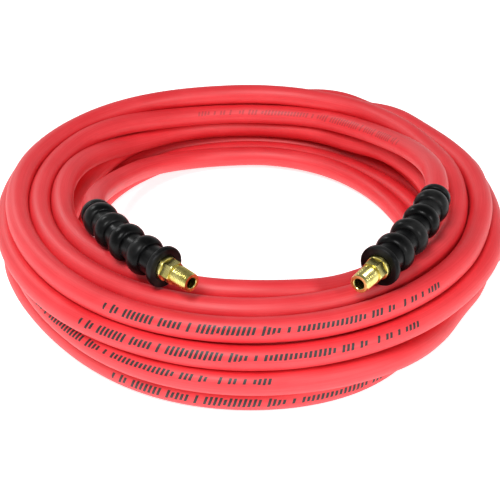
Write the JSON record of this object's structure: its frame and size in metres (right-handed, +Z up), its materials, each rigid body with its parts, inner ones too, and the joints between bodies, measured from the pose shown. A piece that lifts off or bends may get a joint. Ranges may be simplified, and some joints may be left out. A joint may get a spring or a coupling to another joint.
{
  "type": "coiled rubber air hose",
  "caption": "Coiled rubber compressed-air hose with a brass male pipe fitting, crimped ferrule and beaded bend restrictor on each end.",
  "frame": {"origin": "centre of the bounding box on the floor that the coil lies on", "axes": "+Z up from the floor, -Y towards the side where the two fittings lie, +X to the right when they are in front"},
  "size_m": [0.414, 0.4425, 0.0986],
  "materials": {
    "hose_cover": "matte red extruded rubber with a dusty pink bloom",
    "hose_braid": "spiralled polyester yarn",
    "hose_liner": "smooth black inner tube",
    "ferrule_brass": "drawn brass sleeve with crimp rings",
    "fitting_brass": "machined bright brass",
    "restrictor_rubber": "satin black moulded rubber"
  },
  "bodies": {
    "root": {"hose_coil": "hose_cover", "left_end_hose": "hose_cover", "right_end_hose": "hose_cover", "left_hose_end_cover": "hose_cover", "right_hose_end_cover": "hose_cover", "left_hose_end_braid": "hose_braid", "right_hose_end_braid": "hose_braid", "left_hose_end_liner": "hose_liner", "right_hose_end_liner": "hose_liner", "left_ferrule": "ferrule_brass", "right_ferrule": "ferrule_brass", "left_male_fitting": "fitting_brass", "right_male_fitting": "fitting_brass", "left_bend_restrictor": "restrictor_rubber", "right_bend_restrictor": "restrictor_rubber"}
  },
  "joints": []
}
